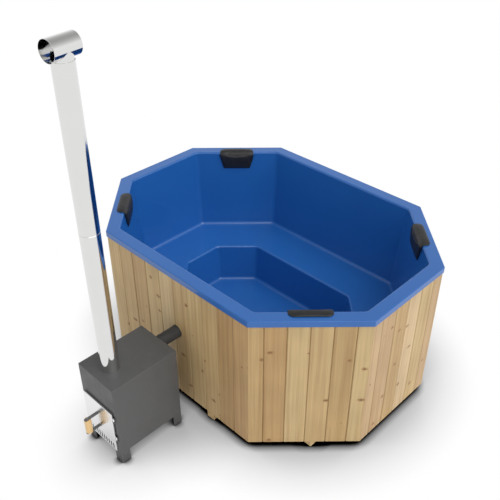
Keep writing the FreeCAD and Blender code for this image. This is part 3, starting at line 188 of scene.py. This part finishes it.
# direction that each side faces, in degrees, and the middle of its rim edge
sides = {
    "stove_side": (-90, (0, -rimCorner.y)),
    "right_front": (-45, (slantX, -slantY)),
    "right_end": (0, (rimCorner.x, 0)),
    "right_back": (45, (slantX, slantY)),
    "back_side": (90, (0, rimCorner.y)),
    "left_back": (135, (-slantX, slantY)),
    "left_end": (180, (-rimCorner.x, 0)),
    "left_front": (225, (-slantX, -slantY)),
}

# Tones of the planed boards, from the palest sapwood to brown heartwood
boardTones = {
    "cream": "#D0B68E",
    "pale": "#CAB185",
    "straw": "#C6AC7D",
    "sand": "#C2A677",
    "blush": "#C2A47C",
    "tan": "#BEA071",
    "oat": "#BB9D6D",
    "honey": "#BB996A",
    "brown": "#B49364",
}
# boards of each side, from left to right as seen from outside; the darker tones of the front right row are
# partly the boards' own and partly painted shade against the lamp that falls fully on that side
boardRows = {
    "stove_side": "straw sand tan straw pale sand straw sand brown honey",
    "right_front": "oat brown straw sand oat straw",
    "right_end": "blush blush tan cream straw blush",
    "right_back": "sand straw tan pale straw sand",
    "back_side": "straw tan sand pale straw honey sand straw tan sand",
    "left_back": "pale sand straw tan straw sand",
    "left_end": "sand straw pale tan sand straw",
    "left_front": "straw tan sand straw pale tan",
}
# softwood boards, planed and oiled: soft brown streaks along the board, small ragged knots, a low sheen
boardWood = {
    "pitch": 125 * mm,
    "seam": 5 * mm,  # half width of the V between boards, over which shade is painted into the wood
    # share of the tone left at the middle of a seam: painted shade in the V
    "seamPaintedShade": 0.75,
    "logStep": (7, 3, 11),  # m, how far apart in the log two boards may lie
    "streak": 20 * mm,
    "streakLength": 1100 * mm,
    "streakDepth": 0.34,
    "lateWood": "#B48A58",
    "lateRange": (0.4, 0.68),  # part of the streak noise over which late wood sets in
    "drift": 260 * mm,  # how soon the tone of a board changes
    "driftDepth": 0.06,
    "knotCell": (62 * mm, 190 * mm),  # one knot at most in each
    "knotShare": 0.3,  # share of the cells that have a knot
    "knotGrowth": 0.2,  # share of the cells over which knots grow to full size
    "knotRadius": 17 * mm,
    "knotCore": 0.1,  # radius of the darkest part, as a share of the knot's
    "knotStretch": (0.45, 1.2),  # height of a knot for its width, from the flattest to the tallest
    "knotTones": [(0.2, "#A98150"), (0.8, "#845E38")],  # from the edge to the heart
    "knotCover": 1.3,  # over 1, so that the wood under a knot is hidden before its core
    "ragged": 7 * mm,  # size of the steps in a knot's edge
    "raggedDepth": 14 * mm,
    "fibre": 3 * mm,  # real fibres are finer; drawn coarse enough to show
    "fibreLength": 400 * mm,
    "fibreDepth": 0.1,
    "fibreRelief": 0.6,  # how much of the fibres is added to the relief of the late wood
    "noiseRoughness": 0.6,
    "roughness": (0.48, 0.66),
    "relief": 0.3 * mm,
    "reliefStrength": 0.5,
    "ior": 1.5,
    "coat": 0.0,
    "coatRoughness": 0.15,
}
# sawn softwood of the frame: duller and rougher, with fewer knots
frameWood = dict(boardWood, pitch=570 * mm, seam=0.1 * mm, knotShare=0.2, roughness=(0.65, 0.8),
                 relief=0.7 * mm)
# turned and varnished grip: even pale wood under a thin gloss
gripWood = dict(boardWood, pitch=1, seam=0.1 * mm, streak=5 * mm, streakDepth=0.3, lateWood="#C99A58",
                knotShare=0, fibre=1.5 * mm, fibreDepth=0.08, roughness=(0.32, 0.42), relief=0.1 * mm,
                coat=0.35)


def timber(name, wood, tones, seed, spin=(0, 0, 0), shift=(0, 0, 0)):
    gloss = {"IOR": wood["ior"], "Coat Weight": wood["coat"], "Coat Roughness": wood["coatRoughness"]}
    material, tree, shader = newMaterial(name, gloss)
    coords = addNode(tree, "TexCoord").outputs["Object"]
    place = addNode(tree, "Mapping", {"Location": shift, "Rotation": spin}, {"Vector": coords})
    across = addNode(tree, "SeparateXYZ", links={0: place}).outputs["X"]
    boards = addNode(tree, "Math", {1: wood["pitch"]}, {0: across}, operation="DIVIDE")
    half = len(tones) / 2
    share = addNode(tree, "MapRange", {"From Min": -half, "From Max": half}, {"Value": boards})
    stops = [(i / len(tones), tone) for i, tone in enumerate(tones)]
    tone = addNode(tree, "ValToRGB", links={0: share}, stops=stops, ramp="CONSTANT")

    # every board is cut from another place in the log
    board = addNode(tree, "Math", links={0: boards}, operation="FLOOR")
    number = addNode(tree, "Math", {1: seed + 0.5}, {0: board}, operation="ADD")
    chance = addNode(tree, "TexWhiteNoise", links={"W": number}, noise_dimensions="1D")
    jump = addNode(tree, "VectorMath", {1: wood["logStep"]}, {0: chance.outputs["Color"]},
                   operation="MULTIPLY")
    log = addNode(tree, "VectorMath", links={0: place, 1: jump}, operation="ADD")
    logAxes = addNode(tree, "SeparateXYZ", links={0: log})

    # streaks from the year rings, fibres, a slow drift of tone along the board, and the ragged edge of
    # knots: width, length and levels of detail
    patterns = [
        (wood["streak"], wood["streakLength"], 3),
        (wood["fibre"], wood["fibreLength"], 3),
        (wood["drift"], wood["drift"], 1),
        (wood["ragged"], wood["ragged"], 2),
    ]
    grains = []
    for width, length, detail in patterns:
        scale = (1 / width, 1 / width, 1 / length)
        stretched = addNode(tree, "VectorMath", {1: scale}, {0: log}, operation="MULTIPLY")
        levels = {"Scale": 1, "Detail": detail, "Roughness": wood["noiseRoughness"]}
        grains.append(addNode(tree, "TexNoise", levels, {"Vector": stretched}))
    streak, fibre, drift, ragged = grains
    low, high = wood["lateRange"]
    late = addNode(tree, "MapRange", {"From Min": low, "From Max": high, "To Max": wood["streakDepth"]},
                   {"Value": streak})

    # knots: one point in a cell, with a size and a stretch of its own
    cellWidth, cellLength = wood["knotCell"]
    flat = addNode(tree, "CombineXYZ", links={0: logAxes.outputs["X"], 1: logAxes.outputs["Z"]})
    cells = addNode(tree, "VectorMath", {1: (1 / cellWidth, 1 / cellLength, 0)}, {0: flat},
                    operation="MULTIPLY")
    spots = addNode(tree, "TexVoronoi", {"Scale": 1}, {"Vector": cells}, voronoi_dimensions="2D")
    luck = addNode(tree, "SeparateColor", links={0: spots.outputs["Color"]})
    offset = addNode(tree, "VectorMath", links={0: cells, 1: spots.outputs["Position"]}, operation="SUBTRACT")
    reach = addNode(tree, "VectorMath", {1: (cellWidth, cellLength, 0)}, {0: offset}, operation="MULTIPLY")
    low, high = wood["knotStretch"]
    squeeze = addNode(tree, "MapRange", {"To Min": low, "To Max": high}, {"Value": luck.outputs["Green"]})
    shape = addNode(tree, "CombineXYZ", {1: 1}, {0: squeeze})
    shaped = addNode(tree, "VectorMath", links={0: reach, 1: shape}, operation="MULTIPLY")
    distance = addNode(tree, "VectorMath", links={0: shaped}, operation="LENGTH").outputs["Value"]
    deep = wood["raggedDepth"]
    edge = addNode(tree, "MapRange", {"To Min": -deep, "To Max": deep}, {"Value": ragged})
    away = addNode(tree, "Math", links={0: distance, 1: edge}, operation="ADD")
    bareShare = 1 - wood["knotShare"]
    grown = {"From Min": bareShare, "From Max": bareShare + wood["knotGrowth"], "To Max": wood["knotRadius"]}
    radius = addNode(tree, "MapRange", grown, {"Value": luck})
    core = addNode(tree, "Math", {1: wood["knotCore"]}, {0: radius}, operation="MULTIPLY")
    knot = addNode(tree, "MapRange", links={"Value": away, "From Min": radius, "From Max": core})
    knotTone = addNode(tree, "ValToRGB", links={0: knot}, stops=wood["knotTones"])
    knotCover = addNode(tree, "Math", {1: wood["knotCover"]}, {0: knot}, operation="MULTIPLY", use_clamp=True)

    # board tone: darker in late wood, painted shade at the seams, varied by fibres and drift, under the knots
    streaked = addNode(tree, "Mix", {7: linear(wood["lateWood"])}, {0: late, 6: tone}, data_type="RGBA",
                       blend_type="MULTIPLY")
    fromSeam = addNode(tree, "Math", {1: 0.5}, {0: boards}, operation="PINGPONG")
    seam = {"From Max": wood["seam"] / wood["pitch"], "To Min": wood["seamPaintedShade"]}
    shade = addNode(tree, "MapRange", seam, {"Value": fromSeam})
    for grain, depth in ((fibre, wood["fibreDepth"]), (drift, wood["driftDepth"])):
        change = addNode(tree, "MapRange", {**noiseRange, "To Min": 1 - depth, "To Max": 1 + depth},
                         {"Value": grain})
        shade = addNode(tree, "Math", links={0: shade, 1: change}, operation="MULTIPLY")
    bare = addNode(tree, "VectorMath", links={0: streaked.outputs[2], "Scale": shade}, operation="SCALE")
    colour = addNode(tree, "Mix", links={0: knotCover, 6: bare, 7: knotTone}, data_type="RGBA")
    low, high = wood["roughness"]
    dull = addNode(tree, "MapRange", {**noiseRange, "To Min": low, "To Max": high}, {"Value": fibre})
    rough = addNode(tree, "Math", {1: wood["fibreRelief"]}, {0: fibre, 2: late}, operation="MULTIPLY_ADD")
    bump = addNode(tree, "Bump", {"Strength": wood["reliefStrength"], "Distance": wood["relief"]},
                   {"Height": rough})
    plug(tree, shader, {"Base Color": colour.outputs[2], "Roughness": dull, "Normal": bump})
    return material


seedStep = 20  # more than the boards of any side, so that no two boards are alike
for number, (side, (facing, middle)) in enumerate(sides.items()):
    spin = -math.radians(facing + 90)  # brings the side round to face -Y
    away = Matrix.Rotation(spin, 3, "Z") @ Vector((*middle, 0))
    tones = [boardTones[word] for word in boardRows[side].split()]
    boards = timber(f"oiled softwood boards {side}", boardWood, tones, seedStep * number, (0, 0, spin), -away)
    dress(boards, [f"cladding_{side}"])
alongY = (math.radians(90), 0, 0)  # brings the grain of a piece that lies along Y upright
joistTones = ["#CDB283", "#D2B888", "#C9AD7C", "#CFB585"]
joists = timber("sawn softwood joists", frameWood, joistTones, seed=300, spin=alongY)
dress(joists, ["base_joists", "base_deck"])
railTones = ["#B79466", "#BF9C6C"]
rails = timber("sawn softwood rails", frameWood, railTones, seed=340)
dress(rails, ["top_rails", "bottom_rails", "corner_posts"])
gripTones = ["#EBC78C", "#EBC78C"]
grip = timber("varnished turned wood", gripWood, gripTones, seed=360)
dress(grip, ["handle_grip"])
print("timber dressed")

# moulded gelcoat: deep even blue under a hard gloss, with the faintest cloudiness
gelcoat = {
    "light": "#1E64B1",
    "deep": "#1A5EA9",
    "cloud": 300 * mm,
    "ripple": 45 * mm,
    "relief": 0.05 * mm,
    "reliefStrength": 0.4,
    "roughness": 0.4,
    "ior": 1.5,
    "coat": 0.4,
    "coatRoughness": 0.03,
}
gloss = {"Roughness": gelcoat["roughness"], "IOR": gelcoat["ior"], "Coat Weight": gelcoat["coat"],
         "Coat Roughness": gelcoat["coatRoughness"]}
material, tree, shader = newMaterial("blue gelcoat", gloss)
coords = addNode(tree, "TexCoord").outputs["Object"]
cloud = addNode(tree, "TexNoise", {"Scale": 1 / gelcoat["cloud"], "Detail": 2}, {"Vector": coords})
blues = {6: linear(gelcoat["light"]), 7: linear(gelcoat["deep"])}
colour = addNode(tree, "Mix", blues, {0: cloud}, data_type="RGBA")
ripple = addNode(tree, "TexNoise", {"Scale": 1 / gelcoat["ripple"], "Detail": 1}, {"Vector": coords})
bump = addNode(tree, "Bump", {"Strength": gelcoat["reliefStrength"], "Distance": gelcoat["relief"]},
               {"Height": ripple})
plug(tree, shader, {"Base Color": colour.outputs[2], "Normal": bump})
dress(material, ["tub_liner"])

# polished stainless sheet: reflections that sway a little, with a faint haze from polishing
steelPolish = {
    "hazeTint": (0.94, 1.0),  # brightness of the haze, from its darkest to its palest
    "reliefStrength": 0.3,
}
polishedSteels = [
    # rolled tube, bright-annealed: nearly a mirror
    {"name": "mirror-polished stainless steel", "colour": "#E2E2E1", "haze": 90 * mm,
     "roughness": (0.05, 0.12), "wave": 160 * mm, "relief": 0.25 * mm,
     "nodes": ["chimney_lower", "chimney_upper", "chimney_cowl"]},
    # pressed plate, buffed by hand: softer and paler
    {"name": "buffed stainless steel", "colour": "#EDEDEE", "haze": 60 * mm,
     "roughness": (0.18, 0.26), "wave": 110 * mm, "relief": 0.2 * mm,
     "nodes": ["firebox_door", "ash_drawer_front", "door_knuckles"]},
]
for steel in polishedSteels:
    material, tree, shader = newMaterial(steel["name"], {"Metallic": 1})
    coords = addNode(tree, "TexCoord").outputs["Object"]
    haze = addNode(tree, "TexNoise", {"Scale": 1 / steel["haze"], "Detail": 4}, {"Vector": coords})
    low, high = steelPolish["hazeTint"]
    tint = addNode(tree, "MapRange", {"To Min": low, "To Max": high}, {"Value": haze})
    colour = addNode(tree, "VectorMath", {0: linear(steel["colour"])[:3]}, {"Scale": tint}, operation="SCALE")
    low, high = steel["roughness"]
    dull = addNode(tree, "MapRange", {**noiseRange, "To Min": low, "To Max": high}, {"Value": haze})
    wave = addNode(tree, "TexNoise", {"Scale": 1 / steel["wave"], "Detail": 1}, {"Vector": coords})
    bump = addNode(tree, "Bump", {"Strength": steelPolish["reliefStrength"], "Distance": steel["relief"]},
                   {"Height": wave})
    plug(tree, shader, {"Base Color": colour, "Roughness": dull, "Normal": bump})
    dress(material, steel["nodes"])
print("gelcoat and steel dressed")

# Finishes that are one colour with flecks: paint, castings, mouldings, turned metal, rope and board.
# fleck and relief are in mm; a fleck under about 2 mm is drawn coarser so that it shows
fleckedFinishes = [
    # sprayed satin enamel on plate: even grey with a soft sheen and a faint orange peel
    {"name": "satin stove enamel", "light": "#535353", "dark": "#4B4B4B", "fleck": 4, "relief": 0.06,
     "roughness": (0.42, 0.55),
     "nodes": ["stove_front_plate", "stove_rear_plate", "stove_side_plates", "stove_top_plate",
               "stove_floor_plate", "hinge_leaves"]},
    # mill-scaled plate: blotchy dark steel, half dull
    {"name": "scaled steel plate", "light": "#8A8682", "dark": "#5A5653", "fleck": 18, "relief": 0.1,
     "roughness": (0.4, 0.65), "metallic": 1, "nodes": ["firebox", "ash_tray", "door_back_plate"]},
    # sand-cast iron: rough, nearly black, with a breath of rust
    {"name": "cast iron", "light": "#4A3F38", "dark": "#2E2C2B", "fleck": 5, "relief": 0.4,
     "roughness": (0.65, 0.85), "metallic": 0.6, "nodes": ["fire_grate"]},
    # powder-coated strip: charcoal with a fine dry texture; on the flue collar the charcoal is partly painted
    # shade, for the shadow at the foot of the chimney
    {"name": "dark coated steel", "light": "#3C3C3E", "dark": "#303032", "fleck": 2, "relief": 0.05,
     "roughness": (0.4, 0.55), "nodes": ["hose_clamps", "drain_lever", "flue_collar"]},
    # the same coat worn and greyed by hands and heat
    {"name": "grey coated steel", "light": "#6A6C6C", "dark": "#5A5C5C", "fleck": 3, "relief": 0.05,
     "roughness": (0.35, 0.5), "nodes": ["handle_straps"]},
    # zinc-plated steel: bright grey with a slight bloom
    {"name": "zinc-plated steel", "light": "#B9BABC", "dark": "#9A9B9E", "fleck": 3, "relief": 0.02,
     "roughness": (0.25, 0.4), "metallic": 1, "nodes": ["handle_bolt", "hinge_pins"]},
    # satin stainless: fine-ground and even
    {"name": "satin stainless steel", "light": "#CDCED0", "dark": "#B8B9BB", "fleck": 2, "relief": 0.02,
     "roughness": (0.28, 0.4), "metallic": 1,
     "nodes": ["hot_wall_fitting", "cold_wall_fitting", "hot_grille", "cold_grille", "drain_fitting",
               "drain_strainer", "stove_spigots"]},
    # wrapped rubber hose: matt black-grey with a cloth-marked skin
    {"name": "rubber hose", "light": "#3A3B3C", "dark": "#2C2D2E", "fleck": 3, "relief": 0.2,
     "roughness": (0.55, 0.75), "nodes": ["upper_hose", "lower_hose"]},
    # glass-filled nylon: black with a fine moulded texture
    {"name": "black nylon", "light": "#2A2A2C", "dark": "#202022", "fleck": 2, "relief": 0.05,
     "roughness": (0.45, 0.6), "nodes": ["fitting_nuts", "drain_nut"]},
    # extruded PVC: flat grey with a low gloss
    {"name": "grey PVC", "light": "#8C8F92", "dark": "#84878A", "fleck": 25, "relief": 0.02,
     "roughness": (0.35, 0.45), "nodes": ["drain_pipe"]},
    # hot-pressed brass: warm yellow with a grained skin
    {"name": "pressed brass", "light": "#D2A85C", "dark": "#B08A48", "fleck": 3, "relief": 0.08,
     "roughness": (0.28, 0.45), "metallic": 1, "nodes": ["drain_valve_body", "drain_stem"]},
    # chrome-plated ball: bright and smooth
    {"name": "chromed ball", "light": "#DCDDDE", "dark": "#D2D3D4", "fleck": 20, "relief": 0.01,
     "roughness": (0.06, 0.1), "metallic": 1, "nodes": ["drain_ball"]},
    # woven glass rope: off-white, knobbly
    {"name": "woven glass rope", "light": "#D6D0C2", "dark": "#B4AD9C", "fleck": 3, "relief": 0.8,
     "roughness": (0.8, 0.95), "nodes": ["door_gasket"]},
    # pressed mineral fibre: chalky and speckled
    {"name": "mineral fibre board", "light": "#DCD8CC", "dark": "#C6C1B3", "fleck": 4, "relief": 0.4,
     "roughness": (0.85, 0.95), "nodes": ["door_insulation"]},
    # bead foam: pale grey-blue beads pressed together
    {"name": "rigid bead foam", "light": "#DDE2E6", "dark": "#C4CBD1", "fleck": 5, "relief": 0.3,
     "roughness": (0.75, 0.9), "nodes": ["floor_insulation"]},
]
# moulded closed-skin foam: soft black, finely pebbled, with a faint grey sheen
padFinish = {"name": "black skinned foam", "light": "#1C1C1F", "dark": "#141416", "fleck": 3, "relief": 0.12,
             "roughness": (0.4, 0.52), "nodes": []}
fleckPattern = {
    "patch": 12,  # size of the cloudy patches, in flecks
    "blend": (0.7, 1.3),  # sum of fleck and patch, from the dark colour to the light one
    "reliefStrength": 0.6,
}


def flecked(finish):
    material, tree, shader = newMaterial(finish["name"], {"Metallic": finish.get("metallic", 0)})
    coords = addNode(tree, "TexCoord").outputs["Object"]
    scale = 1 / (finish["fleck"] * mm)
    fleck = addNode(tree, "TexNoise", {"Scale": scale, "Detail": 3}, {"Vector": coords})
    patchScale = scale / fleckPattern["patch"]
    patch = addNode(tree, "TexNoise", {"Scale": patchScale, "Detail": 2}, {"Vector": coords})
    both = addNode(tree, "Math", links={0: fleck, 1: patch}, operation="ADD")
    low, high = fleckPattern["blend"]
    share = addNode(tree, "MapRange", {"From Min": low, "From Max": high}, {"Value": both})
    tones = {6: linear(finish["dark"]), 7: linear(finish["light"])}
    colour = addNode(tree, "Mix", tones, {0: share}, data_type="RGBA")
    low, high = finish["roughness"]
    dull = addNode(tree, "MapRange", {**noiseRange, "To Min": low, "To Max": high}, {"Value": patch})
    relief = {"Strength": fleckPattern["reliefStrength"], "Distance": finish["relief"] * mm}
    bump = addNode(tree, "Bump", relief, {"Height": fleck})
    plug(tree, shader, {"Base Color": colour.outputs[2], "Roughness": dull, "Normal": bump})
    dress(material, finish["nodes"])
    return material


for finish in fleckedFinishes:
    flecked(finish)
print("flecked finishes dressed")

# Headrests: one foam pad is swelled in a cloth simulation, and copied to its four places
headrest = {
    "first": "right_front",
    "merge": 0.01 * mm,  # corners of the solid this near are one
    "voxel": 4 * mm,
    "smoothing": 16,
    "heldDepth": 2.5 * mm,  # skin this near to rim or wall stays where it is
    "wallSlope": 52 / 600,  # how far the wall draws in, for its height
    "pressure": 4,
    "frames": 20,
    "swell": 3 * mm,  # furthest that the skin may move
    "fill": 0.9,
}
padMaterial = flecked(padFinish)


# the frame of a pad: X along the rim, Y into the tub, Z up from the rim
def padPlace(side):
    facing, middle = sides[side]
    out = Vector((math.cos(math.radians(facing)), math.sin(math.radians(facing)), 0))
    spot = Vector((*middle, rimCorner.z)) - out * flangeWidth
    return Matrix.Translation(spot) @ Matrix.Rotation(math.radians(facing + 90), 4, "Z")


def applyAll(piece):
    for modifier in list(piece.modifiers):
        bpy.ops.object.modifier_apply(modifier=modifier.name)


def pick(piece):
    bpy.ops.object.select_all(action="DESELECT")
    piece.select_set(True)
    bpy.context.view_layer.objects.active = piece


# an even, softened skin over the solid pad, in the pad's own frame
pad = bpy.data.objects.new("headrestPad", nodes["headrest_" + headrest["first"]].data.copy())
scene.collection.objects.link(pad)
pad.data.transform(padPlace(headrest["first"]).inverted())
pick(pad)
bpy.ops.object.mode_set(mode="EDIT")
bpy.ops.mesh.select_all(action="SELECT")
bpy.ops.mesh.remove_doubles(threshold=headrest["merge"])
bpy.ops.mesh.normals_make_consistent(inside=False)
bpy.ops.object.mode_set(mode="OBJECT")
remesh = pad.modifiers.new("even skin", "REMESH")
remesh.mode = "VOXEL"
remesh.voxel_size = headrest["voxel"]
soften = pad.modifiers.new("soften", "SMOOTH")
soften.iterations = headrest["smoothing"]
applyAll(pad)

start = [vertex.co.copy() for vertex in pad.data.vertices]
near = headrest["heldDepth"]
slope = headrest["wallSlope"]
held = pad.vertex_groups.new(name="held")
onTub = [i for i, p in enumerate(start) if p.z < near and p.y < near + max(0, -p.z) * slope]
held.add(onTub, 1, "REPLACE")
cloth = pad.modifiers.new("swell", "CLOTH")
cloth.settings.use_pressure = True
cloth.settings.uniform_pressure_force = headrest["pressure"]
cloth.settings.effector_weights.gravity = 0
cloth.settings.vertex_group_mass = "held"
cloth.point_cache.frame_end = headrest["frames"]
for step in range(1, headrest["frames"] + 1):
    scene.frame_set(step)
swollen = pad.evaluated_get(bpy.context.evaluated_depsgraph_get())
ends = [vertex.co.copy() for vertex in swollen.data.vertices]
pad.modifiers.remove(cloth)
for vertex, before, after in zip(pad.data.vertices, start, ends):
    moved = after - before
    vertex.co = before + moved * min(1, headrest["swell"] / max(moved.length, 1e-9))
scene.frame_set(1)
finer = pad.modifiers.new("finer skin", "SUBSURF")
finer.levels = finer.render_levels = 1
pick(pad)
applyAll(pad)
bpy.ops.object.shade_smooth()
pad.data.materials.clear()
pad.data.materials.append(padMaterial)

for side in ("right_front", "right_back", "left_back", "left_front"):
    piece = bpy.data.objects.new(f"headrestPad_{side}", pad.data.copy())
    scene.collection.objects.link(piece)
    piece.data.transform(padPlace(side))
    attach(piece, "tub_and_stove")
    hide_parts(f"headrest_{side}")
bpy.data.objects.remove(pad)
print("headrests placed")
